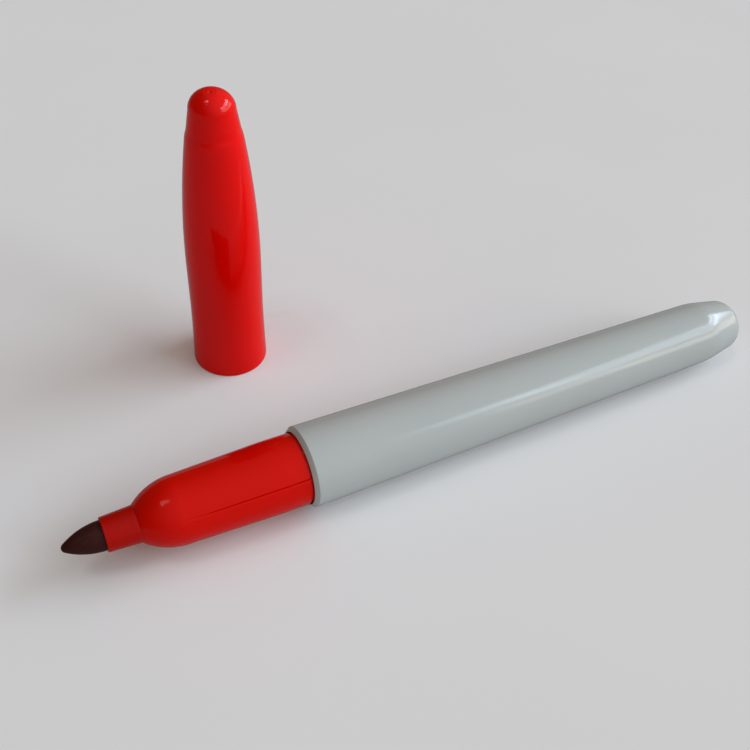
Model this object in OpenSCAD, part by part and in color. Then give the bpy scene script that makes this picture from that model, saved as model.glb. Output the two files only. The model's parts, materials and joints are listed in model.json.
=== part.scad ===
// Fibre-tip permanent marker lying on a table, with its cap off and standing on its mouth behind it.
// Millimetres. The marker lies along X with its nib towards -X, on the lower line of its tapered barrel.
// Every round piece is first drawn about its own axis: the marker's pieces with the barrel's mouth at 0
// and the tail on the positive side, the cap with its mouth at 0 and its nose above it.

/* [Barrel] */
// Length from the mouth to the end of the tail
barrel_len = 84.4; // [76:0.1:110]
// Outside diameter at the mouth, which the other diameters of barrel, holder and cap follow
barrel_mouth_d = 12.5; // [11.2:0.1:16]
// How much narrower the radius is where the straight taper ends and the tail starts
barrel_taper = 0.85; // [0.2:0.05:1.2]
// Length of the tail behind the straight taper
tail_len = 8; // [6:0.1:14]
// How much narrower still the radius is where the rounded end of the tail starts
tail_taper = 0.95; // [0.4:0.05:1.6]
// Height of the rounded end of the tail
tail_round = 2.7; // [1.6:0.1:4.5]
// Length of the soft bend on each side of the place where the tail starts
tail_ease = 2.5; // [0.5:0.1:3]
// Wall beside the ink reservoir
barrel_wall = 0.95; // [0.7:0.05:1.4]
// Width of the ring face round the mouth
rim_w = 0.62; // [0.5:0.02:0.8]
// Radius of the ring's rounded outer edge
rim_edge = 0.1; // [0.05:0.05:0.4]
// Depth of the recess inside the mouth, round the plug of the nib holder
recess_depth = 1.2; // [0.8:0.1:2.5]

/* [Nib holder] */
// Length shown in front of the mouth, up to the root of the neck
holder_len = 24.9; // [22:0.1:32]
// Distance from the mouth to the front end of the round seat, which the cap slides on
seat_len = 5.5; // [3:0.1:9]
// Gap between the mouth and the rear end of the seat
seat_gap = 0.1; // [0.05:0.05:0.4]
// How much narrower the radius is where the shoulder starts
holder_taper = 0.4; // [0.1:0.02:0.6]
// Length of the rounded shoulder
shoulder_len = 6.1; // [4:0.1:8]
// Length of the neck in front of the shoulder
neck_len = 4.6; // [3:0.1:7]
// Diameter of the neck at the shoulder
neck_root_d = 5.44; // [5.2:0.02:6]
// Diameter of the neck at its front
neck_front_d = 4.98; // [4.8:0.02:5.2]
// Radius of the neck's rounded front edge
neck_edge = 0.12; // [0.05:0.01:0.15]
// Length of the plug inside the barrel, behind the recess
plug_len = 12; // [8:0.1:20]
// How much narrower the plug is than the seat, on the radius
plug_step = 0.2; // [0.12:0.02:0.3]
// Wall of the hollow front
holder_wall = 1; // [0.7:0.05:1.3]
// Wall of the tube that steadies the nib inside the holder
nib_tube_wall = 0.7; // [0.5:0.05:0.9]

/* [Nib and ink store] */
// Diameter of the fibre rod
nib_d = 4.3; // [3.6:0.02:4.4]
// Length shown in front of the neck
nib_out = 5.63; // [4:0.05:8]
// Radius of the blunt tip
nib_tip_r = 0.7; // [0.3:0.05:1.1]
// Depth of the nib's rear end in the ink reservoir
nib_in_ink = 9; // [5:0.1:14]
// Length of the taper at the nib's rear end
nib_rear_taper = 3; // [1:0.1:4]
// How far the ink reservoir reaches into the holder in front of the mouth
ink_in_holder = 8; // [4:0.1:11]
// Thickness of the film wrapped round the reservoir
film_t = 0.1; // [0.08:0.01:0.2]

/* [Cap] */
// Length from the mouth to the top of the nose
cap_len = 49.6; // [48:0.1:60]
// How much smaller the cap's mouth is than the barrel's, on the radius
cap_inset = 0.03; // [0:0.01:0.1]
// Radius of the mouth's rounded outer edge
cap_edge = 0.2; // [0.05:0.05:0.25]
// How much narrower the waist is than the mouth, on the radius
cap_waist_in = 0.27; // [0.1:0.01:0.35]
// Height of the flare from the mouth to the waist
cap_flare_h = 14; // [10:0.1:18]
// Height of the straight waist
cap_waist_h = 6; // [2:0.1:10]
// Outside diameter where the long curve meets the nose
cap_ring_d = 8.16; // [8:0.02:9]
// Height of the nose above the long curve
nose_h = 7; // [6.4:0.1:8]
// Step from the long curve in to the nose, on the radius
nose_step = 0.06; // [0.04:0.02:0.3]
// Diameter of the nose where its dome starts
nose_dome_d = 6.84; // [6.7:0.02:7.4]
// Height of the dome
nose_dome_h = 3.6; // [3:0.1:4.5]
// Wall along the long curve
cap_wall = 0.85; // [0.7:0.05:1]
// Length of the round bore inside the mouth
cap_bore_len = 6; // [4:0.1:8]
// Bevel at the edge of the bore
cap_lead = 0.2; // [0.1:0.05:0.25]
// Wall of the inner sleeve that closes round the neck
sleeve_wall = 0.65; // [0.5:0.05:0.75]
// Height of the ring that joins the inner sleeve to the wall, below the nose
sleeve_root_h = 5.6; // [4:0.1:8]
// Height of the solid floor of the nose above the inner sleeve's bore
crown_h = 2.5; // [2:0.1:3]
// Diameter of the moulding mark on top of the nose
gate_d = 1.9; // [1:0.1:2.4]
// Depth of the moulding mark
gate_depth = 0.25; // [0.1:0.05:0.4]

/* [Pocket clip] */
// Width at the root
clip_w = 4.6; // [3.9:0.1:5.4]
// Width at the free end
clip_end_w = 3.8; // [2.4:0.1:4.6]
// Thickness
clip_t = 1.4; // [1.2:0.1:2]
// Room between the clip and the waist of the cap
clip_gap = 1.3; // [1.1:0.1:2.4]
// Height of the free end above the mouth
clip_end_h = 9.5; // [5:0.1:14]
// Height of the bend from the free stretch up to the root
clip_bend_h = 6.6; // [5:0.1:9]
// Radius of the bead inside the free end
clip_bead_r = 1; // [0.6:0.05:1.1]
// Room between the bead and the waist of the cap
clip_bead_gap = 0.4; // [0.3:0.05:0.6]

/* [Fits] */
// Gap between the ring face and the nib holder
rim_gap = 0.15; // [0.08:0.01:0.25]
// Clearance of the plug in the barrel, on the radius
plug_clear = 0.02; // [0:0.01:0.05]
// Clearance of the cap's bore on the seat, on the radius
cap_clear = 0.03; // [0.01:0.01:0.1]
// Clearance of the cap along the tapered part of the holder, on the radius
cap_ease = 0.12; // [0.06:0.02:0.2]
// Clearance of the inner sleeve on the neck, on the radius
sleeve_clear = 0.18; // [0.1:0.02:0.22]
// Clearance of the nib in the neck and in the reservoir, on the radius
nib_clear = 0.03; // [0.01:0.01:0.1]
// Clearance of the wrapped reservoir in the barrel and the holder, on the radius
ink_clear = 0.2; // [0.1:0.02:0.3]
// Room between the closed cap's inner sleeve and the shoulder
sleeve_room = 0.5; // [0.2:0.1:1]

/* [Lie of the pieces] */
// Place of the standing cap along the marker, from the barrel's mouth towards the tail
cap_along = 1.1; // [-30:0.1:70]
// Distance of the standing cap's axis behind the marker's axis
cap_behind = 33.8; // [20:0.1:60]
// Direction in which the clip of the standing cap points, from +X towards +Y
clip_turn = 72; // [20:1:90]

/* [Hidden] */
$fn = 96;
// Number of straight steps in each curved stretch of an outline
curve_steps = 16;
// Length that a cut reaches past the face that it opens
cut_past = 0.5;

mouth_r = barrel_mouth_d / 2;
heel_r = mouth_r - barrel_taper;
tail_end_r = heel_r - tail_taper;
heel_x = barrel_len - tail_len;
tail_round_x = barrel_len - tail_round;
// How much the tail narrows for each millimetre of its length
tail_slope = tail_taper / (tail_round_x - heel_x);
recess_r = mouth_r - rim_w;
seat_r = recess_r - rim_gap;
plug_bore_r = seat_r - plug_step;
plug_r = plug_bore_r - plug_clear;
plug_end_x = recess_depth + plug_len;
chamber_r = mouth_r - barrel_taper * plug_end_x / heel_x - barrel_wall;
chamber_end_r = heel_r - barrel_wall;

film_r = chamber_end_r - ink_clear;
ink_r = film_r - film_t;
socket_r = film_r + ink_clear;
// End of the reservoir against the step in front of the tail
ink_end_x = heel_x - ink_clear;
nib_r = nib_d / 2;
nib_bore_r = nib_r + nib_clear;
nib_tube_r = nib_bore_r + nib_tube_wall;
nib_rear_x = nib_in_ink - ink_in_holder;

holder_front_r = seat_r - holder_taper;
neck_front_x = -holder_len - neck_len;
shoulder_x = -holder_len + shoulder_len;
// The hollow front ends in a ring that the reservoir stops against
hollow_end_x = -ink_in_holder - holder_wall;

// Radius of the nib's pointed curve, which is tangent to the rod and to the ball at the tip
nib_curve_r = (nib_r^2 - nib_tip_r^2 + (nib_out - nib_tip_r)^2) / (2 * (nib_r - nib_tip_r));
// Distance of the tip's ball in front of the neck
nib_ball_x = nib_out - nib_tip_r;
// Angle of the line from the curve's centre to the centre of the tip's ball
nib_curve_sweep = asin(nib_ball_x / (nib_curve_r - nib_tip_r));

cap_mouth_r = mouth_r - cap_inset;
cap_waist_r = cap_mouth_r - cap_waist_in;
cap_ring_r = cap_ring_d / 2;
curve_z = cap_flare_h + cap_waist_h;
ring_z = cap_len - nose_h;
dome_z = cap_len - nose_dome_h;
cap_bore_r = seat_r + cap_clear;
sleeve_z = holder_len + sleeve_room;
sleeve_r = neck_root_d / 2 + sleeve_clear;
sleeve_out_r = sleeve_r + sleeve_wall;
sleeve_root_z = ring_z - sleeve_root_h;
bore_top_z = cap_len - crown_h;
// Height from which the inside follows the long curve at an even wall
wall_z = max(-shoulder_x + cap_ease, curve_z);

clip_in_q = cap_waist_r + clip_gap;
clip_out_q = clip_in_q + clip_t;
clip_root_z = ring_z - clip_t;
clip_bend_z = clip_root_z - clip_bend_h;

// Slope at which the tapered barrel lies flat on the table, and the middle of the whole arrangement
lie = atan2(barrel_taper, heel_x);
mid_x = (barrel_len + neck_front_x - nib_out) / 2 * cos(lie);
clip_reach = clip_out_q * sin(clip_turn) + clip_end_w / 2 * cos(clip_turn);
mid_y = (cap_behind + max(clip_reach, cap_mouth_r) - mouth_r) / 2;

// Radius, a distance d along, of a round curve that leaves r0 along the axis and reaches r1 after a run
function curve_r(r0, r1, run, d) =
    r0 == r1 ? r0 :
    let (bend = (run^2 + (r0 - r1)^2) / (2 * (r0 - r1)))
    r0 - bend + sign(bend) * sqrt(bend^2 - d^2);

// Points [radius, height] of such a curve that starts at height h0, upwards for dir 1 and downwards for -1
function curve_points(r0, r1, run, h0, dir) =
    [for (i = [0:curve_steps]) let (d = run * i / curve_steps) [curve_r(r0, r1, run, d), h0 + dir * d]];

// Points of a round end on a radius, from its foot at height h0 to its pole, in line with sides that narrow by slope
function dome_points(r, h, h0, slope = 0) =
    [for (i = [0:curve_steps]) let (a = 90 * i / curve_steps)
        [(r - slope * h * sin(a)) * cos(a), h0 + h * sin(a)]];

// Points of a soft bend from a to b that touches the lines from a and b to the corner between them
function bend_points(a, corner, b) =
    [for (i = [0:curve_steps / 2]) let (t = 2 * i / curve_steps)
        (1 - t)^2 * a + 2 * t * (1 - t) * corner + t^2 * b];

// Points of a rounded edge between an end face at height h0 and a side of that radius
function edge_points(r, edge, h0) =
    [for (i = [0:curve_steps / 4]) let (a = 360 * i / curve_steps)
        [r - edge + edge * sin(a), h0 + edge - edge * cos(a)]];

function reversed(points) = [for (i = [len(points) - 1:-1:0]) points[i]];

// Radius of the holder's straight tapered front at x
function holder_r(x) = holder_front_r + holder_taper * (x - shoulder_x) / (-seat_len - shoulder_x);

// Radius of the cap's long outer curve at height z
function cap_curve_r(z) = curve_r(cap_waist_r, cap_ring_r, ring_z - curve_z, z - curve_z);

// A round piece from its outline of [radius, place along the marker] points
module turned(outline) {
    rotate([0, 90, 0])
        rotate_extrude()
            polygon(outline);
}

// A round cut or rod between two places along the marker, straight or tapered
module turned_rod(r0, x0, r1, x1) {
    turned([[0, x0], [r0, x0], [r1, x1], [0, x1]]);
}

// Sets the marker's pieces down on the table
module lying() {
    translate([-mid_x, -mid_y, mouth_r * cos(lie)])
        rotate([0, lie, 0])
            children();
}

// Stands the cap on its mouth behind the marker
module standing() {
    translate([cap_along - mid_x, cap_behind - mid_y, 0])
        children();
}

// Grey moulded tube with a closed, narrowing tail
module barrel() {
    bend = bend_points([heel_r + barrel_taper / heel_x * tail_ease, heel_x - tail_ease], [heel_r, heel_x],
        [heel_r - tail_slope * tail_ease, heel_x + tail_ease]);
    skin = concat([[0, 0]], edge_points(mouth_r, rim_edge, 0), bend,
        dome_points(tail_end_r, tail_round, tail_round_x, tail_slope));
    color("#b3b8b9")
        lying()
            difference() {
                turned(skin);
                turned_rod(recess_r, -cut_past, recess_r, recess_depth);
                turned_rod(plug_bore_r, 0, plug_bore_r, plug_end_x);
                turned_rod(chamber_r, plug_end_x - cut_past, chamber_end_r, heel_x);
                turned_rod(tail_end_r - barrel_wall, 0, tail_end_r - barrel_wall, tail_round_x);
            }
}

// Red moulding that carries the nib: neck, shoulder, tapered front, round seat and the plug in the barrel
module nib_holder() {
    skin = concat([[0, neck_front_x]], edge_points(neck_front_d / 2, neck_edge, neck_front_x),
        reversed(curve_points(holder_front_r, neck_root_d / 2, shoulder_len, shoulder_x, -1)),
        [[seat_r, -seat_len], [seat_r, -seat_gap], [plug_r, -seat_gap], [plug_r, plug_end_x], [0, plug_end_x]]);
    hollow_r = holder_front_r - holder_wall;
    hollow = [[nib_tube_r, shoulder_x - (hollow_r - nib_tube_r) / 2], [hollow_r, shoulder_x],
        [holder_r(hollow_end_x) - holder_wall, hollow_end_x], [nib_tube_r, hollow_end_x]];
    color("#b80f0a")
        lying()
            difference() {
                turned(skin);
                turned_rod(nib_bore_r, neck_front_x - cut_past, nib_bore_r, 0);
                turned(hollow);
                turned_rod(socket_r, -ink_in_holder, socket_r, plug_end_x + cut_past);
            }
}

// Pressed fibre rod, pointed in front and tapered where it is pushed into the reservoir
module nib() {
    tip = [for (i = [0:curve_steps]) let (a = nib_curve_sweep * i / curve_steps)
        [nib_r - nib_curve_r + nib_curve_r * cos(a), neck_front_x - nib_curve_r * sin(a)]];
    ball = [for (i = [1:curve_steps]) let (a = nib_curve_sweep + (90 - nib_curve_sweep) * i / curve_steps)
        [nib_tip_r * cos(a), neck_front_x - nib_ball_x - nib_tip_r * sin(a)]];
    rear = [[0, nib_rear_x], [nib_r / 2, nib_rear_x], [nib_r, nib_rear_x - nib_rear_taper]];
    color("#38120f")
        lying()
            turned(concat(rear, tip, ball));
}

// Bonded fibre rod that holds the ink, with the hollow that the nib's rear end presses into it
module ink_reservoir() {
    color("#7d1a1c")
        lying()
            difference() {
                turned_rod(ink_r, -ink_in_holder, ink_r, ink_end_x);
                turned_rod(nib_bore_r, -ink_in_holder - cut_past, nib_bore_r, nib_rear_x - nib_rear_taper);
                turned_rod(nib_bore_r, nib_rear_x - nib_rear_taper, nib_r / 2 + nib_clear, nib_rear_x + nib_clear);
            }
}

// Clear film wrapped round the reservoir, open at both ends
module reservoir_film() {
    color("#d9dcde")
        lying()
            turned([[ink_r, -ink_in_holder], [film_r, -ink_in_holder], [film_r, ink_end_x], [ink_r, ink_end_x]]);
}

// Side of the clip as [distance from the cap's axis, height], with its root sunk halfway into the wall
module clip_side() {
    root_q = cap_curve_r(clip_root_z) - cap_wall / 2;
    inner_root_z = clip_root_z - 2 * clip_t;
    inner_root_q = cap_curve_r(inner_root_z) - cap_wall / 2;
    inner_bend_z = clip_bend_z - clip_t;
    outer = [for (i = [0:curve_steps]) let (a = 90 * i / curve_steps)
        [root_q + (clip_out_q - root_q) * sin(a), clip_bend_z + clip_bend_h * cos(a)]];
    inner = [for (i = [curve_steps:-1:0]) let (a = 90 * i / curve_steps)
        [inner_root_q + (clip_in_q - inner_root_q) * sin(a),
            inner_bend_z + (inner_root_z - inner_bend_z) * cos(a)]];
    polygon(concat(outer, [[clip_out_q, clip_end_h], [clip_in_q, clip_end_h]], inner));
    translate([cap_waist_r + clip_bead_gap + clip_bead_r, clip_end_h + clip_end_w / 2])
        circle(clip_bead_r);
}

// Front of the clip as [across, height]: narrowing downwards to a round end
module clip_front() {
    end_r = clip_end_w / 2;
    round_end = [for (i = [0:curve_steps]) let (a = 180 + 180 * i / curve_steps)
        [end_r * cos(a), clip_end_h + end_r + end_r * sin(a)]];
    polygon(concat(round_end, [[clip_w / 2, ring_z], [-clip_w / 2, ring_z]]));
}

// Pocket clip, moulded in one with the cap
module clip() {
    rotate([0, 0, clip_turn])
        intersection() {
            rotate([90, 0, 0])
                linear_extrude(max(clip_w, clip_end_w), center = true)
                    clip_side();
            rotate([90, 0, 90])
                linear_extrude(clip_out_q + cut_past)
                    clip_front();
        }
}

// Red moulded cap: flared mouth, waist, long curve, stepped nose and pocket clip outside, sealing sleeve inside
module cap() {
    skin = concat([[0, 0]], edge_points(cap_mouth_r, cap_edge, 0),
        reversed(curve_points(cap_waist_r, cap_mouth_r, cap_flare_h - cap_edge, cap_flare_h, -1)),
        curve_points(cap_waist_r, cap_ring_r, ring_z - curve_z, curve_z, 1),
        [[cap_ring_r - nose_step, ring_z]], dome_points(nose_dome_d / 2, nose_dome_h, dome_z));
    wall = [for (i = [0:curve_steps]) let (z = wall_z + (sleeve_root_z - wall_z) * i / curve_steps)
        [max(cap_curve_r(z) - cap_wall, sleeve_out_r + cap_ease), z]];
    mouth = [[0, -cut_past], [cap_bore_r + cap_lead, -cut_past], [cap_bore_r + cap_lead, 0],
        [cap_bore_r, cap_lead], [cap_bore_r, cap_bore_len], [holder_front_r + cap_ease, -shoulder_x + cap_ease]];
    sleeve = [[sleeve_out_r, sleeve_root_z], [sleeve_out_r, sleeve_z], [sleeve_r, sleeve_z]];
    hollow = concat(mouth, wall, sleeve, dome_points(sleeve_r, sleeve_r, bore_top_z - sleeve_r));
    color("#b80f0a")
        standing()
            difference() {
                union() {
                    rotate_extrude()
                        polygon(skin);
                    clip();
                }
                rotate_extrude()
                    polygon(hollow);
                translate([0, 0, cap_len - gate_depth])
                    cylinder(d = gate_d, h = gate_depth + cut_past);
            }
}

barrel();
nib_holder();
nib();
ink_reservoir();
reservoir_film();
cap();
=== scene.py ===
# %% [markdown]
# # A fibre-tip marker with its cap off
#
# This lesson dresses a marker that lies on a table, with its red cap standing behind it. The packed
# CAD model is the frame: it fixes every size and every place. Nearly all that shows was moulded in
# round tools, so most pieces here are outlines turned about an axis, and the rest of the work is
# finish and light.

# %% Load the frame
import bmesh
import bpy
import json
from math import asin, cos, pi, radians, sin, sqrt, tan
from mathutils import Matrix, Vector


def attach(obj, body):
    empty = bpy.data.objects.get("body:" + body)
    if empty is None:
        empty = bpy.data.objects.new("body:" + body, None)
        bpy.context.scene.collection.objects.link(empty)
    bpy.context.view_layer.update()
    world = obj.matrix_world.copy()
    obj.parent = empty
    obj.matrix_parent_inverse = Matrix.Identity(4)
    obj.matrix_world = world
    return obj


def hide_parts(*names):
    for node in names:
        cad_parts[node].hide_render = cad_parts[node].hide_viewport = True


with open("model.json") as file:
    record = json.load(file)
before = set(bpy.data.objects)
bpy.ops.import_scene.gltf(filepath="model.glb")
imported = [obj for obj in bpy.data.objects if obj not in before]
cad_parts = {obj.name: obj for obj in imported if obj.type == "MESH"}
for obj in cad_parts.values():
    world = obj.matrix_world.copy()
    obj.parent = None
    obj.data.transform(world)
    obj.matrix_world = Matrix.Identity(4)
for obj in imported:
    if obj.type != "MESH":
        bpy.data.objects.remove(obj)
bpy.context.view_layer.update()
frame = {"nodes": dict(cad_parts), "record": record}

MM = 0.001      # in metres; lengths below are in millimetres unless a comment says otherwise
mounts = {mount["name"]: mount for mount in frame["record"]["mounts"]}

# %% [markdown]
# ## Two places to build at
#
# The marker's pieces share one axis, which dips a little because the tapered barrel lies on its
# side. The frame knows that axis: the round seat for the cap is a mount with a point and a
# direction. The cap stands upright on its own axis. Each object could be turned into place.
# Instead, each piece is drawn about Z in millimetres and its mesh is carried to one of these
# places, so every object stays at the origin, unturned and unscaled, as the CAD pieces do.

# %% The marker's axis and the cap's axis
SEAT_MIDDLE = 2.8       # from the barrel's mouth to the middle of the seat

seat = mounts["cap_seat"]
towards_tail = -Vector(seat["axis"]).normalized()
mouth_centre = Vector(seat["pos_m"]) + towards_tail * SEAT_MIDDLE * MM
lying = (Matrix.Translation(mouth_centre)
         @ Vector((0, 0, 1)).rotation_difference(towards_tail).to_matrix().to_4x4()
         @ Matrix.Scale(MM, 4))

cap_axis = Vector(mounts["cap_mouth"]["pos_m"])
cap_foot = Vector((cap_axis.x, cap_axis.y, 0))
standing = Matrix.Translation(cap_foot) @ Matrix.Scale(MM, 4)
print("mouth of the barrel at", [round(c / MM, 2) for c in mouth_centre], "mm")

# %% [markdown]
# ## Helpers
#
# One function adds a node with its settings, its constants and its links, in materials and in
# Geometry Nodes alike; the part of it that fills the inputs also fills those of a shader. Another
# turns the hex colours that we can read off a screen into the linear numbers that a renderer needs.

# %% Node and colour helpers
def plug(tree, node, inputs):
    for socket, value in inputs.items():
        if isinstance(value, bpy.types.NodeSocket):
            tree.links.new(value, node.inputs[socket])
        else:
            node.inputs[socket].default_value = value


def add(tree, kind, inputs=None, **settings):
    node = tree.nodes.new(kind)
    for name, value in settings.items():
        setattr(node, name, value)
    plug(tree, node, inputs or {})
    return node


def linear(hex_colour):
    channels = [int(hex_colour[i:i + 2], 16) / 255 for i in (1, 3, 5)]
    curve = [c / 12.92 if c <= 0.04045 else ((c + 0.055) / 1.055) ** 2.4 for c in channels]
    return (*curve, 1.0)


def new_material(name):
    material = bpy.data.materials.new(name)
    material.use_nodes = True
    tree = material.node_tree
    tree.nodes.clear()
    shader = add(tree, "ShaderNodeBsdfPrincipled")
    add(tree, "ShaderNodeOutputMaterial", {"Surface": shader.outputs["BSDF"]})
    place = add(tree, "ShaderNodeTexCoord").outputs["Object"]
    return material, tree, shader, place


print("mid grey #808080 is", round(linear("#808080")[0], 3), "in linear light")

# %% [markdown]
# ## Red polypropylene
#
# Cap and nib holder are polypropylene, injection moulded in polished steel. The polish gives a
# clear gloss, the shrinking plastic leaves a faint waviness of a few millimetres, and handling
# leaves fine dull patches. The plastic lets a little light in, which softens its shading. A clear
# coat could give the gloss too, but nothing is lacquered here, so one layer does. IOR 1.49 is
# typical. The red stays deep even where it mirrors the pale table, so the specular level is below
# its usual 0.5. Both reds come from one function, because only their tone, waviness and polish
# differ.

# %% Material of cap and holder
PLASTIC_IOR = 1.49
TINT_PATCH, DULL_PATCH = 9, 2.5
DULL_FROM, DULL_TO = 0.35, 0.75     # stretch of the noise that turns from polished to dull
HANDLING = 0.03                     # roughness that handling adds


def red_polypropylene(name, dark, light, polish, wave, specular):
    material, tree, shader, place = new_material(name)
    tint = add(tree, "ShaderNodeTexNoise",
               {"Vector": place, "Scale": 1 / (TINT_PATCH * MM), "Detail": 2})
    colour = add(tree, "ShaderNodeValToRGB", {"Fac": tint.outputs["Fac"]})
    colour.color_ramp.elements[0].color = linear(dark)
    colour.color_ramp.elements[1].color = linear(light)
    handled = add(tree, "ShaderNodeTexNoise",
                  {"Vector": place, "Scale": 1 / (DULL_PATCH * MM), "Detail": 3})
    dulled = add(tree, "ShaderNodeMapRange",
                 {"Value": handled.outputs["Fac"], "From Min": DULL_FROM, "From Max": DULL_TO,
                  "To Min": polish, "To Max": polish + HANDLING})
    shrunk = add(tree, "ShaderNodeTexNoise",
                 {"Vector": place, "Scale": 1 / (wave * MM), "Detail": 1})
    relief = add(tree, "ShaderNodeBump",
                 {"Height": shrunk.outputs["Fac"], "Strength": 0.12, "Distance": 0.03 * MM})
    plug(tree, shader, {
        "Base Color": colour.outputs["Color"],
        "Roughness": dulled.outputs["Result"],
        "Normal": relief.outputs["Normal"],
        "IOR": PLASTIC_IOR,
        "Specular IOR Level": specular,
        "Subsurface Weight": 0.06,
        "Subsurface Radius": (1.0, 0.12, 0.08),
        "Subsurface Scale": 0.6 * MM})
    return material


cap_red = red_polypropylene("polypropylene red, polished mould, cap", "#de0401", "#e60602",
                            polish=0.02, wave=4, specular=0.24)
holder_red = red_polypropylene("polypropylene red, polished mould, holder", "#ca0a01", "#d20c02",
                               polish=0.03, wave=3, specular=0.15)
print("red plastics:", cap_red.name, "and", holder_red.name)

# %% [markdown]
# ## Thin plastic over the dark nib
#
# The neck's wall is only a few tenths of a millimetre thick, and the nib's ink shows through it as
# a darker red. Letting light through the wall would show that too, but slowly and with noise. So
# the holder's colour is mixed with the darker one in front of the shoulder, over a short stretch
# along the marker.

# %% Darker neck of the holder
NECK_AT, NECK_FADE = -24.9, 0.5     # from the barrel's mouth
NECK_RED = "#a80b04"

tree = holder_red.node_tree
shader = next(node for node in tree.nodes if node.type == "BSDF_PRINCIPLED")
full_red = shader.inputs["Base Color"].links[0].from_socket
place = add(tree, "ShaderNodeTexCoord").outputs["Object"]
along = add(tree, "ShaderNodeSeparateXYZ", {"Vector": place}).outputs["X"]
neck_x = mouth_centre.x + NECK_AT * MM
thin = add(tree, "ShaderNodeMapRange",
           {"Value": along, "From Min": neck_x - NECK_FADE * MM,
            "From Max": neck_x + NECK_FADE * MM, "To Min": 1.0, "To Max": 0.0}).outputs["Result"]
mixed = add(tree, "ShaderNodeMix", {"Factor": thin, "A": full_red, "B": linear(NECK_RED)},
            data_type="RGBA")
plug(tree, shader, {"Base Color": mixed.outputs["Result"]})
print("neck is darker in front of x =", round(neck_x / MM, 1), "mm")

# %% [markdown]
# ## Grey polypropylene
#
# The barrel came out of a mould with a fine satin finish. Its highlight is wider and softer than
# the cap's. The grain could be shaped in the mesh, but at a few hundredths of a millimetre it is
# too fine for that, and too fine to show. So it is a bump that is drawn at 0.25 mm and kept very
# shallow.

# %% Material of the barrel
BARREL_TINT_PATCH, BARREL_DULL_PATCH, GRAIN = 12, 5, 0.25
SATIN, SATIN_DULLED = 0.12, 0.16        # roughness

barrel_grey, tree, shader, place = new_material("polypropylene grey, satin mould, barrel")
tint = add(tree, "ShaderNodeTexNoise",
           {"Vector": place, "Scale": 1 / (BARREL_TINT_PATCH * MM), "Detail": 3})
colour = add(tree, "ShaderNodeValToRGB", {"Fac": tint.outputs["Fac"]})
colour.color_ramp.elements[0].color = linear("#adb3b3")
colour.color_ramp.elements[1].color = linear("#b4baba")
handled = add(tree, "ShaderNodeTexNoise",
              {"Vector": place, "Scale": 1 / (BARREL_DULL_PATCH * MM), "Detail": 2})
dulled = add(tree, "ShaderNodeMapRange",
             {"Value": handled.outputs["Fac"], "From Min": DULL_FROM, "From Max": DULL_TO,
              "To Min": SATIN, "To Max": SATIN_DULLED})
grain = add(tree, "ShaderNodeTexNoise", {"Vector": place, "Scale": 1 / (GRAIN * MM), "Detail": 1})
relief = add(tree, "ShaderNodeBump",
             {"Height": grain.outputs["Fac"], "Strength": 0.04, "Distance": 0.01 * MM})
plug(tree, shader, {
    "Base Color": colour.outputs["Color"],
    "Roughness": dulled.outputs["Result"],
    "Normal": relief.outputs["Normal"],
    "IOR": PLASTIC_IOR,
    "Specular IOR Level": 0.4})
print("barrel:", barrel_grey.name)

# %% [markdown]
# ## Fibre soaked with ink
#
# Nib and reservoir are polyester fibres pressed side by side along the rod. Hair strands would be
# far too many, so noise that is stretched along the marker makes them. Real strands are about 0.02
# mm wide; they are drawn at 0.12 mm so that they show.

# %% Materials of nib and reservoir
STRAND_STRETCH = 0.05                       # scale of the noise along the marker
STRAND_DARK, STRAND_LIGHT = 0.3, 0.75       # noise at which a strand is darkest and lightest


def inked_fibre(name, dark, light, strand):
    material, tree, shader, place = new_material(name)
    stretched = add(tree, "ShaderNodeMapping", {"Vector": place, "Scale": (STRAND_STRETCH, 1, 1)})
    strands = add(tree, "ShaderNodeTexNoise", {"Vector": stretched.outputs["Vector"],
                                               "Scale": 1 / (strand * MM), "Detail": 3})
    colour = add(tree, "ShaderNodeValToRGB", {"Fac": strands.outputs["Fac"]})
    first, last = colour.color_ramp.elements
    first.position, first.color = STRAND_DARK, linear(dark)
    last.position, last.color = STRAND_LIGHT, linear(light)
    relief = add(tree, "ShaderNodeBump",
                 {"Height": strands.outputs["Fac"], "Strength": 0.5, "Distance": 0.04 * MM})
    plug(tree, shader, {
        "Base Color": colour.outputs["Color"],
        "Normal": relief.outputs["Normal"],
        "Roughness": 0.55,
        "IOR": 1.45,
        "Specular IOR Level": 0.2})
    return material


nib_fibre = inked_fibre("polyester fibre nib, soaked", "#240908", "#421512", strand=0.12)
reservoir_fibre = inked_fibre("polyester fibre reservoir, soaked", "#6c1518", "#8e2023", strand=0.2)
print("fibres:", nib_fibre.name, "and", reservoir_fibre.name)

# %% [markdown]
# ## Clear film
#
# The reservoir is wrapped in thin clear polypropylene with small crinkles. A transparent shader
# could stand for it, but transmission keeps the gloss of real plastic. The film lies hidden in the
# barrel, and it is finished all the same, because the pieces can be looked at one by one.

# %% Material of the film
CRINKLE = 1.5

wrap_film, tree, shader, place = new_material("polypropylene film, clear")
crinkled = add(tree, "ShaderNodeTexNoise",
               {"Vector": place, "Scale": 1 / (CRINKLE * MM), "Detail": 3})
relief = add(tree, "ShaderNodeBump",
             {"Height": crinkled.outputs["Fac"], "Strength": 0.3, "Distance": 0.03 * MM})
plug(tree, shader, {
    "Base Color": linear("#e6e8ea"),
    "Roughness": 0.08,
    "Normal": relief.outputs["Normal"],
    "IOR": PLASTIC_IOR,
    "Transmission Weight": 0.9})
print("film:", wrap_film.name)

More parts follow.
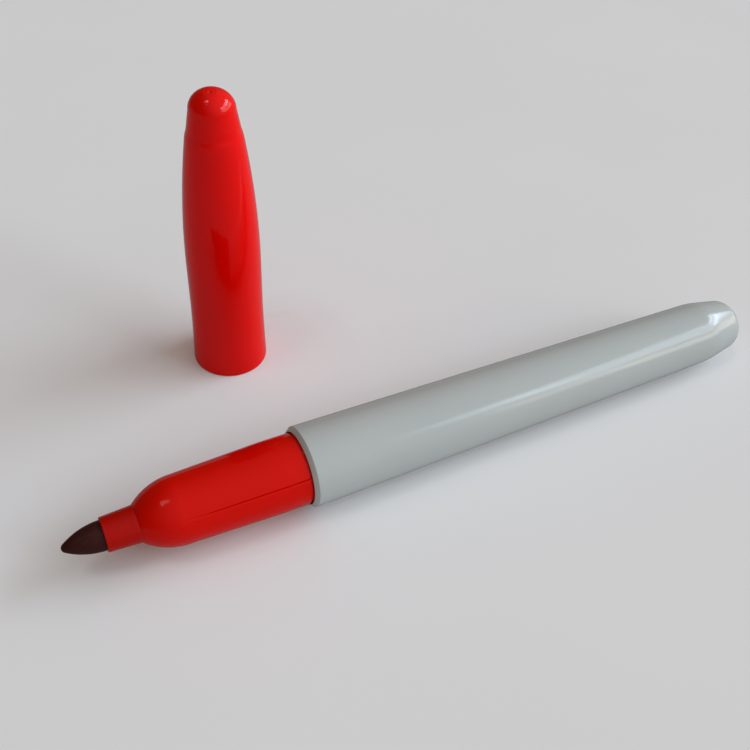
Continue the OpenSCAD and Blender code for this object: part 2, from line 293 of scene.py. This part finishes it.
# %% [markdown]
# ## One tree for every turned piece
#
# Barrel, holder, nib and cap are all round, so each is one outline spun about an axis. The Spin
# operator or a Screw modifier could do that, but a Geometry Nodes tree keeps the rule in one place
# and can add what a plain spin can't: the fine seam that is left where two halves of a mould met.
# The outline is a mesh of bare points with the radius in X and the height in Z. A grid gets one row
# for each of these points and one column for each step around. Each grid point then looks up its
# outline point by its row, and its angle by its column.

# %% Geometry Nodes tree: inputs and grid
INPUT_KINDS = {"Outline": "Geometry", "Steps around": "Int", "Seam depth": "Float",
               "Seam turn": "Float", "Seam full at": "Float", "Seam gone at": "Float",
               "Material": "Material"}
MATH = "ShaderNodeMath"

turned_piece = bpy.data.node_groups.new("turned_piece", "GeometryNodeTree")
turned_piece.is_modifier = True
input_ids = {}
for input_name, kind in INPUT_KINDS.items():
    socket = turned_piece.interface.new_socket(input_name, in_out="INPUT",
                                               socket_type="NodeSocket" + kind)
    input_ids[input_name] = socket.identifier
turned_piece.interface.new_socket("Geometry", in_out="OUTPUT", socket_type="NodeSocketGeometry")

sizes = add(turned_piece, "NodeGroupInput").outputs
around = sizes["Steps around"]
rows = add(turned_piece, "GeometryNodeAttributeDomainSize",
           {"Geometry": sizes["Outline"]}).outputs["Point Count"]
columns = add(turned_piece, MATH, {0: around, 1: 1.0}, operation="ADD").outputs[0]
grid = add(turned_piece, "GeometryNodeMeshGrid",
           {"Vertices X": columns, "Vertices Y": rows}).outputs["Mesh"]

number = add(turned_piece, "GeometryNodeInputIndex").outputs["Index"]
row = add(turned_piece, MATH, {0: number, 1: rows}, operation="FLOORED_MODULO").outputs[0]
columns_done = add(turned_piece, MATH, {0: number, 1: rows}, operation="DIVIDE").outputs[0]
column = add(turned_piece, MATH, {0: columns_done}, operation="FLOOR").outputs[0]
part_turn = add(turned_piece, MATH, {0: column, 1: around}, operation="DIVIDE").outputs[0]
angle = add(turned_piece, MATH, {0: part_turn, 1: 2 * pi}, operation="MULTIPLY").outputs[0]

position = add(turned_piece, "GeometryNodeInputPosition").outputs["Position"]
sample = add(turned_piece, "GeometryNodeSampleIndex",
             {"Geometry": sizes["Outline"], "Value": position, "Index": row},
             data_type="FLOAT_VECTOR")
on_outline = add(turned_piece, "ShaderNodeSeparateXYZ",
                 {"Vector": sample.outputs["Value"]}).outputs
print("turned_piece has the inputs", list(input_ids))

# %% [markdown]
# ## The seam, and the way out
#
# The seam is a notch of one column: there the radius is a little smaller. A boolean could cut it,
# but would break up the even grid. The notch fades along the piece between two heights. Then the
# points go to their places, the first and the last column are merged, and the tree ends with real
# geometry that wears its material.

# %% Geometry Nodes tree: seam and output
MERGE_GAP = 0.001

from_seam = add(turned_piece, MATH, {0: angle, 1: sizes["Seam turn"]},
                operation="SUBTRACT").outputs[0]
apart = add(turned_piece, MATH, {0: from_seam}, operation="ABSOLUTE").outputs[0]
half_step = add(turned_piece, MATH, {0: pi, 1: around}, operation="DIVIDE").outputs[0]
on_seam = add(turned_piece, MATH, {0: apart, 1: half_step}, operation="LESS_THAN").outputs[0]
fade = add(turned_piece, "ShaderNodeMapRange",
           {"Value": on_outline["Z"], "From Min": sizes["Seam gone at"],
            "From Max": sizes["Seam full at"]}).outputs["Result"]
full_notch = add(turned_piece, MATH, {0: sizes["Seam depth"], 1: on_seam},
                 operation="MULTIPLY").outputs[0]
notch = add(turned_piece, MATH, {0: full_notch, 1: fade}, operation="MULTIPLY").outputs[0]
radius = add(turned_piece, MATH, {0: on_outline["X"], 1: notch}, operation="SUBTRACT").outputs[0]

cosine = add(turned_piece, MATH, {0: angle}, operation="COSINE").outputs[0]
sine = add(turned_piece, MATH, {0: angle}, operation="SINE").outputs[0]
x = add(turned_piece, MATH, {0: radius, 1: cosine}, operation="MULTIPLY").outputs[0]
y = add(turned_piece, MATH, {0: radius, 1: sine}, operation="MULTIPLY").outputs[0]
goal = add(turned_piece, "ShaderNodeCombineXYZ",
           {"X": x, "Y": y, "Z": on_outline["Z"]}).outputs["Vector"]

moved = add(turned_piece, "GeometryNodeSetPosition",
            {"Geometry": grid, "Position": goal}).outputs["Geometry"]
closed = add(turned_piece, "GeometryNodeMergeByDistance",
             {"Geometry": moved, "Distance": MERGE_GAP}).outputs["Geometry"]
real = add(turned_piece, "GeometryNodeRealizeInstances", {"Geometry": closed}).outputs["Geometry"]
dressed = add(turned_piece, "GeometryNodeSetMaterial",
              {"Geometry": real, "Material": sizes["Material"]}).outputs["Geometry"]
add(turned_piece, "NodeGroupOutput", {"Geometry": dressed})
print("turned_piece has", len(turned_piece.nodes), "nodes")

# %% [markdown]
# ## From an outline to a finished piece
#
# A live modifier would do for a picture, but a plain mesh can be cleaned, measured and exported as
# it is. So the modifier's inputs are set by their identifiers before the object is first evaluated,
# and the evaluated result is copied to a plain mesh. Its doubles are merged and its faces are
# turned outwards. Smooth shading rounds the long sides, and edges sharper than 35 degrees are
# marked so that steps stay crisp.

# %% Turning an outline
SHARP_FROM = radians(35)
WELD_GAP = 0.0005
NO_SEAM = (0.0, 0.0, 1.0, 0.0)      # depth, turn, full at, gone at


def finish_mesh(mesh, name, material, place, body, node):
    shape = bmesh.new()
    shape.from_mesh(mesh)
    bmesh.ops.remove_doubles(shape, verts=shape.verts, dist=WELD_GAP)
    bmesh.ops.dissolve_degenerate(shape, edges=shape.edges, dist=WELD_GAP)
    bmesh.ops.recalc_face_normals(shape, faces=shape.faces)
    for face in shape.faces:
        face.smooth = True
        face.material_index = 0
    shape.to_mesh(mesh)
    shape.free()
    mesh.transform(place)
    mesh.set_sharp_from_angle(angle=SHARP_FROM)
    mesh.materials.clear()
    mesh.materials.append(material)
    mesh.name = name
    piece = bpy.data.objects.new(name, mesh)
    bpy.context.collection.objects.link(piece)
    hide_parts(node)
    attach(piece, body)
    print(name, "has", len(mesh.polygons), "faces")
    return piece


def turn(name, outline, steps, material, place, body, node, seam=NO_SEAM):
    points = bpy.data.meshes.new(name + "_outline")
    points.from_pydata([(r, 0, h) for r, h in outline], [], [])
    blank = bpy.data.objects.new(name + "_outline", points)
    bpy.context.collection.objects.link(blank)
    modifier = blank.modifiers.new("turned", "NODES")
    modifier.node_group = turned_piece
    depth, turn_angle, full_at, gone_at = seam
    values = {"Steps around": steps, "Seam depth": depth, "Seam turn": turn_angle,
              "Seam full at": full_at, "Seam gone at": gone_at, "Material": material}
    for input_name, value in values.items():
        modifier[input_ids[input_name]] = value
    evaluated = blank.evaluated_get(bpy.context.evaluated_depsgraph_get())
    mesh = bpy.data.meshes.new_from_object(evaluated)
    bpy.data.objects.remove(blank)
    return finish_mesh(mesh, name, material, place, body, node)


print("edges are sharp from", round(SHARP_FROM, 3), "radians")

# %% [markdown]
# ## Drawing outlines
#
# An outline is a list of points: radius and height. Four small functions make its stretches. soft()
# rounds the corners of a run of straight lines, swell() is a circular arc that leaves one radius
# along the axis, dome() closes an end, in line with sides that may narrow already, and ruled() puts
# extra points on a straight line. Curve objects could hold the same outlines, but points in a list
# can be worked out from the real sizes.

# %% Outline helpers
def soft(corners, steps=6):
    points = []
    for i, (r, h, ease) in enumerate(corners):
        corner = Vector((r, h))
        if ease == 0:
            points.append(tuple(corner))
            continue
        start = corner + (Vector(corners[i - 1][:2]) - corner).normalized() * ease
        end = corner + (Vector(corners[i + 1][:2]) - corner).normalized() * ease
        for k in range(steps + 1):
            t = k / steps
            points.append(tuple(start.lerp(corner, t).lerp(corner.lerp(end, t), t)))
    return points


def swell(flat_r, far_r, flat_h, far_h, steps=28):
    run, drop = far_h - flat_h, flat_r - far_r
    bend = (run ** 2 + drop ** 2) / (2 * drop)
    sign = 1 if bend > 0 else -1
    return [(flat_r - bend + sign * sqrt(bend ** 2 - (run * k / steps) ** 2),
             flat_h + run * k / steps) for k in range(steps + 1)]


def dome(r, foot_h, height, slope=0.0, steps=20):
    angles = [pi / 2 * k / steps for k in range(steps + 1)]
    return [((r - slope * height * sin(a)) * cos(a), foot_h + height * sin(a)) for a in angles]


def ruled(start, end, steps):
    return [tuple(Vector(start).lerp(Vector(end), k / steps)) for k in range(steps + 1)]


print("a soft corner has", len(soft([(0, 0, 0), (1, 0, 0.2), (1, 1, 0)])), "points")

# %% [markdown]
# ## Barrel
#
# A grey tube that narrows slowly to its tail. A cone with a bevel would do from afar, but the lip
# and the soft heel catch the light, so they are drawn. The outline starts in the recess round the
# holder, goes over the bevelled lip of the mouth and along the barrel, bends softly into the tail,
# closes in a low dome and comes back inside. Heights count from the mouth, towards the tail.

# %% Barrel
MOUTH_R, HEEL_R, TAIL_R = 6.25, 5.40, 4.45
HEEL_AT, TAIL_ROUND_AT, TAIL_ROUND = 76.4, 81.7, 2.7
RECESS_R, RECESS_DEEP, LIP_R, LIP = 5.56, 1.2, 5.74, 0.6
RECESS_EASE, LIP_EASE, MOUTH_EASE, HEEL_EASE = 0.04, 0.06, 0.05, 1.6
PLUG_BORE_R, PLUG_END = 5.28, 13.2
CHAMBER_R, CHAMBER_END_R, POCKET_R = 5.15, 4.45, 3.5
BARREL_STEPS = 192

tail_slope = (HEEL_R - TAIL_R) / (TAIL_ROUND_AT - HEEL_AT)
barrel_outline = soft([(RECESS_R, RECESS_DEEP, 0), (RECESS_R, -LIP, RECESS_EASE),
                       (LIP_R, -LIP, LIP_EASE), (MOUTH_R, 0, MOUTH_EASE),
                       (HEEL_R, HEEL_AT, HEEL_EASE), (TAIL_R, TAIL_ROUND_AT, 0)])
barrel_outline += dome(TAIL_R, TAIL_ROUND_AT, TAIL_ROUND, tail_slope)[1:]
barrel_outline += [(0, TAIL_ROUND_AT), (POCKET_R, TAIL_ROUND_AT), (POCKET_R, HEEL_AT),
                   (CHAMBER_END_R, HEEL_AT), (CHAMBER_R, PLUG_END), (PLUG_BORE_R, PLUG_END),
                   (PLUG_BORE_R, RECESS_DEEP), (RECESS_R, RECESS_DEEP)]
turn("barrel_tube", barrel_outline, BARREL_STEPS, barrel_grey, lying,
     "marker", "barrel")

# %% [markdown]
# ## Nib holder
#
# The red moulding in the barrel's mouth. Its mould was split along the marker, and the halves left
# a fine seam along the side that faces the camera. A line in the material could show it, but would
# not be in the mesh, so it is a narrow notch of one column, drawn a little deeper than a real seam
# so that it shows. It fades towards the round shoulder, where the halves were fitted better.

# %% Nib holder
SEAT_R, SEAT_END, SEAT_EDGE, GROOVE_R, GROOVE_END = 5.48, -5.5, -0.9, 5.3, -0.1
FRONT_R, SHOULDER_AT, NECK_END = 5.08, -18.8, -29.5
NECK_ROOT_R, NECK_FRONT_R, NIB_BORE_R = 2.72, 2.49, 2.18
PLUG_R, SOCKET_R, SOCKET_END = 5.26, 4.45, -8.0
NECK_EASE, SEAT_EASE, FRONT_ROWS = 0.12, 0.06, 12
HOLDER_STEPS, SEAM_COLUMN = 288, 191        # the seam's column lies a little above the side
SEAM_DEPTH, SEAM_FULL_AT, SEAM_GONE_AT = 0.18, -14.0, SHOULDER_AT - 1

holder_outline = soft([(NIB_BORE_R, NECK_END, 0), (NECK_FRONT_R, NECK_END, NECK_EASE),
                       (NECK_ROOT_R, NECK_AT, 0)])
holder_outline += swell(FRONT_R, NECK_ROOT_R, SHOULDER_AT, NECK_AT)[-2::-1]
holder_outline += ruled((FRONT_R, SHOULDER_AT), (SEAT_R, SEAT_END), FRONT_ROWS)[1:]
holder_outline += soft([(SEAT_R, SEAT_END, 0), (SEAT_R, SEAT_EDGE, SEAT_EASE),
                        (GROOVE_R, SEAT_EDGE, 0)])[1:]
holder_outline += [(GROOVE_R, GROOVE_END), (PLUG_R, GROOVE_END), (PLUG_R, PLUG_END),
                   (SOCKET_R, PLUG_END), (SOCKET_R, SOCKET_END), (NIB_BORE_R, SOCKET_END),
                   (NIB_BORE_R, NECK_END)]
seam_turn = 2 * pi * SEAM_COLUMN / HOLDER_STEPS
turn("nib_holder_moulding", holder_outline, HOLDER_STEPS, holder_red, lying,
     "marker", "nib_holder",
     seam=(SEAM_DEPTH, seam_turn, SEAM_FULL_AT, SEAM_GONE_AT))

# %% [markdown]
# ## Nib
#
# A rod of pressed fibre, ground to a blunt bullet point. A cone with a rounded tip would show a
# kink where it meets the rod. Here the curve of the point is one arc that touches the rod at the
# neck and a small ball at the tip, as grinding leaves it.

# %% Nib
NIB_R, NIB_OUT, TIP_R = 2.15, 5.63, 0.7
NIB_REAR, NIB_REAR_TAPER = 1.0, 3.0
POINT_ROWS, TIP_ROWS, NIB_STEPS = 20, 10, 128

ball_out = NIB_OUT - TIP_R
point_bend = (NIB_R ** 2 - TIP_R ** 2 + ball_out ** 2) / (2 * (NIB_R - TIP_R))
sweep = asin(ball_out / (point_bend - TIP_R))
point_angles = [sweep * k / POINT_ROWS for k in range(POINT_ROWS + 1)]
tip_angles = [sweep + (pi / 2 - sweep) * k / TIP_ROWS for k in range(1, TIP_ROWS + 1)]
nib_outline = [(0, NIB_REAR), (NIB_R / 2, NIB_REAR), (NIB_R, NIB_REAR - NIB_REAR_TAPER)]
nib_outline += [(NIB_R - point_bend + point_bend * cos(a), NECK_END - point_bend * sin(a))
                for a in point_angles]
nib_outline += [(TIP_R * cos(a), NECK_END - ball_out - TIP_R * sin(a)) for a in tip_angles]
turn("fibre_nib", nib_outline, NIB_STEPS, nib_fibre, lying, "marker", "nib")

# %% [markdown]
# ## Cap
#
# One thin moulding: a flared mouth, a straight waist, a long curve, a low soft step and a short
# nose, with the inner sleeve that seals round the neck. The inside could be left out while the cap
# stands on its mouth, but it shows when the cap is lifted. So the whole section is one closed
# outline, and the wall has its real thickness. Heights count from the mouth.

# %% Cap
CAP_MOUTH_R, WAIST_R, RING_R, NOSE_R, NOSE_TOP_R = 6.22, 5.95, 4.20, 3.95, 3.40
FLARE_END, WAIST_ROW, WAIST_END, RING_AT = 14.0, 17.0, 20.0, 42.6
NOSE_DOME_AT, CAP_TOP, NOSE_EASE = 46.6, 49.45, 0.15
RIM_EASE, RIM_EDGE, FLARE_AT = 0.2, 0.4, 0.5
STEP_RUN, STEP_EASE = 0.8, 0.4
BORE_R, BORE_END, LEAD = 5.51, 6.0, 0.2
INNER_R, INNER_AT, WALL = 5.2, 18.92, 0.85
SLEEVE_R, SLEEVE_OUT_R, SLEEVE_GAP = 2.90, 3.55, 0.12
SLEEVE_MOUTH, SLEEVE_ROOT, SLEEVE_TOP = 25.4, 37.0, 47.1
CURVE_ROWS, DOME_ROWS, CAP_STEPS = 40, 48, 224

long_curve = swell(WAIST_R, RING_R, WAIST_END, RING_AT, CURVE_ROWS)
nose_dome = dome(NOSE_TOP_R, NOSE_DOME_AT, CAP_TOP - NOSE_DOME_AT, steps=DOME_ROWS)

cap_outline = soft([(BORE_R + LEAD, 0, 0), (CAP_MOUTH_R, 0, RIM_EASE), (CAP_MOUTH_R, RIM_EDGE, 0)])
cap_outline += swell(WAIST_R, CAP_MOUTH_R, FLARE_END, FLARE_AT)[::-1]
cap_outline += [(WAIST_R, WAIST_ROW)] + long_curve[:-2]
cap_outline += soft([(*long_curve[-3], 0), (RING_R, RING_AT, STEP_EASE),
                     (NOSE_R, RING_AT + STEP_RUN, STEP_EASE),
                     (*nose_dome[0], NOSE_EASE), (*nose_dome[2], 0)])[1:-1]
cap_outline += nose_dome[2:]
cap_outline += dome(SLEEVE_R, SLEEVE_TOP - SLEEVE_R, SLEEVE_R)[::-1]
cap_outline += [(SLEEVE_R, SLEEVE_MOUTH), (SLEEVE_OUT_R, SLEEVE_MOUTH), (SLEEVE_OUT_R, SLEEVE_ROOT)]
cap_outline += [(max(r - WALL, SLEEVE_OUT_R + SLEEVE_GAP), h)
                for r, h in long_curve[::-1] if h < SLEEVE_ROOT]
cap_outline += [(INNER_R, INNER_AT), (BORE_R, BORE_END), (BORE_R, LEAD), (BORE_R + LEAD, 0)]
cap = turn("cap_moulding", cap_outline, CAP_STEPS, cap_red, standing,
           "cap", "cap")

# %% [markdown]
# ## Gate mark
#
# The plastic was let into the mould at the top of the nose. The cut-off gate leaves a flat of about
# two millimetres with a low rim and a small pit, not quite central. It could be cut with a boolean,
# which leaves long thin faces. Here the points of the dome near it are moved up or down by a height
# that depends on their distance from the mark's middle.

# %% Gate mark
GATE_OFF = Vector((-0.3, -0.5))     # from the cap's axis
GATE_FROM = NOSE_DOME_AT + 1.5      # points below this height stay
# distance from the mark's middle, and height
GATE_STEPS = ((0.0, -0.14), (0.16, -0.14), (0.32, -0.02), (0.75, -0.02), (0.9, 0.02), (1.0, 0.02),
              (1.3, 0.0))


def gate_height(distance):
    for (d0, h0), (d1, h1) in zip(GATE_STEPS, GATE_STEPS[1:]):
        if distance < d1:
            return h0 + (h1 - h0) * (distance - d0) / (d1 - d0)
    return 0.0


pressed = 0
for vertex in cap.data.vertices:
    local = (vertex.co - cap_foot) / MM
    if local.z > GATE_FROM:
        rise = gate_height((local.xy - GATE_OFF).length)
        vertex.co.z += rise * MM
        pressed += rise != 0
print("gate mark moved", pressed, "points")

# %% [markdown]
# ## Pocket clip
#
# The clip grows out of the cap's far side below the nose, bends down and ends free in a round tip
# with a bead that grips cloth. A bent and bevelled box could stand for it. It is built as rings
# along its length instead: each ring is a rounded rectangle between the clip's inner and outer
# face, so thickness and width can change along the way. The first stations follow the bend, as
# pairs of an inner and an outer point.

# %% Stations along the clip
CLIP_IN, CLIP_OUT, CLIP_ROOT_AT, CLIP_BEND, CLIP_END = 7.25, 8.65, 41.2, 6.6, 9.5
CLIP_W, CLIP_END_W, CLIP_T = 4.6, 3.8, 1.4
BEAD_R, BEAD_GAP, TIP_RUN = 1.0, 0.4, 1.2
BEND_ROWS, STRAIGHT_ROWS, END_ROWS = 24, 12, 40

tip_centre = CLIP_END + CLIP_END_W / 2


def curve_r(h):
    run, drop = RING_AT - WAIST_END, WAIST_R - RING_R
    bend = (run ** 2 + drop ** 2) / (2 * drop)
    return WAIST_R - bend + sqrt(bend ** 2 - (h - WAIST_END) ** 2)


def inner_face(h):
    from_bead = h - tip_centre
    if abs(from_bead) >= BEAD_R:
        return CLIP_IN
    return min(CLIP_IN, WAIST_R + BEAD_GAP + BEAD_R - sqrt(BEAD_R ** 2 - from_bead ** 2))


bend_at = CLIP_ROOT_AT - CLIP_BEND
inner_bend_at = bend_at - CLIP_T
inner_root_at = CLIP_ROOT_AT - 2 * CLIP_T
root_q = curve_r(CLIP_ROOT_AT) - WALL / 2
inner_root_q = curve_r(inner_root_at) - WALL / 2
stations = []
for k in range(BEND_ROWS + 1):
    a = pi / 2 * k / BEND_ROWS
    inner = (inner_root_q + (CLIP_IN - inner_root_q) * sin(a),
             inner_bend_at + (inner_root_at - inner_bend_at) * cos(a))
    outer = (root_q + (CLIP_OUT - root_q) * sin(a), bend_at + CLIP_BEND * cos(a))
    stations.append((inner, outer))
tip_at = tip_centre + TIP_RUN
heights = [inner_bend_at - (inner_bend_at - tip_at) * k / STRAIGHT_ROWS
           for k in range(1, STRAIGHT_ROWS + 1)]
heights += [tip_at - (tip_at - CLIP_END) * k / END_ROWS for k in range(1, END_ROWS + 1)]
stations += [((inner_face(h), h), (CLIP_OUT, h)) for h in heights]
print("clip has", len(stations), "stations")

# %% [markdown]
# ## Rings of the clip
#
# A power below one turns the circle of each ring into a rectangle with round corners. A bevel could
# round the corners too, but less evenly where the width changes. Below the centre of the tip the
# width follows a half circle. The clip is turned to the side of the cap that faces away from the
# camera.

# %% Rings and faces of the clip
CLIP_TURN = radians(72)
RING_POINTS, BOXY, LEAST_HALF_W = 28, 0.4, 0.05


def squared(c):
    return abs(c) ** BOXY * (1 if c > 0 else -1)


clip_shape = bmesh.new()
rings = []
for (in_q, in_h), (out_q, out_h) in stations:
    h = (in_h + out_h) / 2
    from_tip = h - tip_centre
    half_w = (CLIP_END_W + (CLIP_W - CLIP_END_W) * from_tip / (RING_AT - tip_centre)) / 2
    if from_tip < 0:
        half_w = sqrt(max(LEAST_HALF_W ** 2, (CLIP_END_W / 2) ** 2 - from_tip ** 2))
    ring = []
    for k in range(RING_POINTS):
        a = 2 * pi * k / RING_POINTS
        across, side = (squared(cos(a)) + 1) / 2, squared(sin(a)) * half_w
        q, z = in_q + (out_q - in_q) * across, in_h + (out_h - in_h) * across
        ring.append(clip_shape.verts.new((q * cos(CLIP_TURN) - side * sin(CLIP_TURN),
                                          q * sin(CLIP_TURN) + side * cos(CLIP_TURN), z)))
    rings.append(ring)
for above, below in zip(rings, rings[1:]):
    for k in range(RING_POINTS):
        clip_shape.faces.new((above[k - 1], above[k], below[k], below[k - 1]))
clip_shape.faces.new(rings[0])
clip_shape.faces.new(rings[-1])
clip_mesh = bpy.data.meshes.new("pocket_clip")
clip_shape.to_mesh(clip_mesh)
clip_shape.free()
finish_mesh(clip_mesh, "pocket_clip", cap_red, standing, "cap", "cap")

# %% [markdown]
# ## What stays as CAD made it
#
# The reservoir is a plain rod inside the barrel, and its film is a thin tube round it. They could
# be built again here, but their CAD meshes are already right, so they only get their finishes.

# %% Reservoir and film
for node_name, finish in (("ink_reservoir", reservoir_fibre), ("reservoir_film", wrap_film)):
    inside = frame["nodes"][node_name]
    inside.data.materials.clear()
    inside.data.materials.append(finish)
    print(node_name, "wears", finish.name)

# %% [markdown]
# ## Table
#
# A plain pale table top, matt and very slightly uneven in tone. It is stage, not part of the
# object. The real table lay in shade on the camera's side, outside the picture, and the gloss of
# the cap shows that. A dark screen could stand there, but it would take light away too, so only
# glossy rays see the table darker.

# %% Table top
TABLE_SIZE = 3.0        # metres
TABLE_BELOW = 0.02      # keeps the table clear of the pieces that stand on it
CLOUD = 60

table_paint, tree, shader, place = new_material("laminate pale, matt, table")
cloud = add(tree, "ShaderNodeTexNoise", {"Vector": place, "Scale": 1 / (CLOUD * MM), "Detail": 2})
tone = add(tree, "ShaderNodeValToRGB", {"Fac": cloud.outputs["Fac"]})
tone.color_ramp.elements[0].color = linear("#e2e2e4")
tone.color_ramp.elements[1].color = linear("#e6e6e8")
in_gloss = add(tree, "ShaderNodeLightPath").outputs["Is Glossy Ray"]
shown = add(tree, "ShaderNodeMix",
            {"Factor": in_gloss, "A": tone.outputs["Color"], "B": linear("#a4a4a6")},
            data_type="RGBA")
plug(tree, shader, {
    "Base Color": shown.outputs["Result"],
    "Roughness": 0.6,
    "Specular IOR Level": 0.03})

shape = bmesh.new()
bmesh.ops.create_grid(shape, x_segments=1, y_segments=1, size=TABLE_SIZE / 2)
table_mesh = bpy.data.meshes.new("table_top")
shape.to_mesh(table_mesh)
shape.free()
table_mesh.materials.append(table_paint)
table = bpy.data.objects.new("table_top", table_mesh)
table.location.z = -TABLE_BELOW * MM
bpy.context.collection.objects.link(table)
print("table top of", TABLE_SIZE, "m")

# %% [markdown]
# ## Room
#
# The room is soft and a little warm: its walls are brighter on the side of the window and dimmer
# away from it. Walls could be built round the table, but the world's strength and colour can follow
# the direction alone, with less noise.

# %% Room
ROOM_DIM, ROOM_BRIGHT = 0.13, 0.7
WALL_DIM, WALL_MIDDLE, WALL_BRIGHT = "#ffc890", "#fff6ee", "#ffffff"
BRIGHT_SIDE = (-40, 35)     # degrees from +X towards +Y seen from above, and above the table
DIM_UNTIL = -0.1            # cosine of the angle to the bright side


def towards(turn_degrees, rise_degrees):
    t, r = radians(turn_degrees), radians(rise_degrees)
    return Vector((cos(r) * cos(t), cos(r) * sin(t), sin(r)))


world = bpy.data.worlds.new("room")
world.use_nodes = True
tree = world.node_tree
view = add(tree, "ShaderNodeTexCoord").outputs["Generated"]
nearness = add(tree, "ShaderNodeVectorMath", {0: view, 1: towards(*BRIGHT_SIDE)},
               operation="DOT_PRODUCT").outputs["Value"]
share = add(tree, "ShaderNodeMapRange",
            {"Value": nearness, "From Min": DIM_UNTIL}).outputs["Result"]
strength = add(tree, "ShaderNodeMapRange",
               {"Value": share, "To Min": ROOM_DIM, "To Max": ROOM_BRIGHT}).outputs["Result"]
walls = add(tree, "ShaderNodeValToRGB", {"Fac": share})
walls.color_ramp.elements[0].color = linear(WALL_DIM)
walls.color_ramp.elements[1].color = linear(WALL_BRIGHT)
walls.color_ramp.elements.new(0.5).color = linear(WALL_MIDDLE)
plug(tree, tree.nodes["Background"], {"Strength": strength, "Color": walls.outputs["Color"]})
bpy.context.scene.world = world
print("room from", ROOM_DIM, "to", ROOM_BRIGHT)

# %% [markdown]
# ## Window and ceiling lamps
#
# The window is low and wide, to the right of the camera. A bar parts it into an upper and a lower
# pane, which give the broad faint stripes along the barrel. Two strips of bright sky stand in it,
# and show as short strokes on the tightest curves. Towards the camera the window is curtained and
# dimmer. Tubes on the ceiling give the small mark on the holder's shoulder. A modelled room could
# let the same light in, but with more noise. So each of these is an area lamp that is given by the
# angles under which the marker sees it, because those angles can be read from the highlights.

# %% Window and ceiling lamps
LIGHT_DISTANCE, AIM_HEIGHT = 8.0, 0.01      # metres
LAMP_POWER = 4                              # watts per square metre at brightness 1
DAYLIGHT, LATE_LIGHT, TUBE_LIGHT = (0.74, 0.88, 1.0), (1.0, 0.94, 0.82), (1.0, 0.97, 0.92)
# turn, rise, width and height in degrees as seen from the marker, brightness, colour
LIGHTS = {
    "upper_pane": (-21, 33.5, 58, 15, 3.4, DAYLIGHT),
    "lower_pane": (-21, 16.5, 58, 13, 2.7, LATE_LIGHT),
    "upper_curtain": (-55, 33.5, 10, 15, 2, DAYLIGHT),
    "lower_curtain": (-55, 16.5, 10, 13, 2, LATE_LIGHT),
    "high_sky": (-7, 38.2, 28, 3.4, 5.5, DAYLIGHT),
    "low_sky": (-7, 30.6, 28, 5, 7, DAYLIGHT),
    "tube_1": (168, 71, 2, 14, 11, TUBE_LIGHT),
    "tube_2": (-172, 70, 2, 14, 11, TUBE_LIGHT)}

aim = Vector((mouth_centre.x, mouth_centre.y, AIM_HEIGHT))
for name, (turn_at, rise_at, wide, tall, brightness, colour) in LIGHTS.items():
    lamp = bpy.data.lights.new(name, "AREA")
    lamp.shape = "RECTANGLE"
    lamp.size = 2 * LIGHT_DISTANCE * tan(radians(wide) / 2)
    lamp.size_y = 2 * LIGHT_DISTANCE * tan(radians(tall) / 2)
    lamp.energy = LAMP_POWER * lamp.size * lamp.size_y * brightness
    lamp.color = colour
    towards_lamp = towards(turn_at, rise_at)
    facing = towards_lamp.to_track_quat("Z", "Y").to_matrix().to_4x4()
    light = bpy.data.objects.new(name, lamp)
    light.matrix_world = Matrix.Translation(aim + towards_lamp * LIGHT_DISTANCE) @ facing
    bpy.context.collection.objects.link(light)
    print(name, "has", round(lamp.energy, 1), "W")

# %% [markdown]
# ## Camera
#
# The camera could be set by eye, but then lengths would not agree with the photograph. It was found
# by laying the outlines of cap, barrel and holder over the photograph. It looks down at about 45
# degrees with a slight roll. Its place is given from the barrel's mouth, in the frame's own
# directions.

# %% Camera
FOCAL_PIXELS, IMAGE_PIXELS = 900, 750
SENSOR = 36
NEAREST = 0.005             # metres
CAMERA_FROM_MOUTH = Vector((-34.41, -77.69, 109.71)) * MM   # its height is above the table
CAMERA_RIGHT = Vector((0.8887, -0.4549, 0.0568))
CAMERA_UP = Vector((0.2846, 0.6447, 0.7095))

camera_data = bpy.data.cameras.new("camera")
camera_data.sensor_width = SENSOR
camera_data.lens = SENSOR * FOCAL_PIXELS / IMAGE_PIXELS
camera_data.clip_start = NEAREST
camera = bpy.data.objects.new("camera", camera_data)
right = CAMERA_RIGHT.normalized()
back = right.cross(CAMERA_UP).normalized()
up = back.cross(right)
turned_to = Matrix((right, up, back)).transposed().to_4x4()
spot = Vector((mouth_centre.x, mouth_centre.y, 0)) + CAMERA_FROM_MOUTH
camera.matrix_world = Matrix.Translation(spot) @ turned_to
bpy.context.collection.objects.link(camera)
bpy.context.scene.camera = camera
bpy.context.scene.view_settings.view_transform = "Standard"
print("camera at", [round(c / MM, 1) for c in spot], "mm, lens", camera_data.lens, "mm")
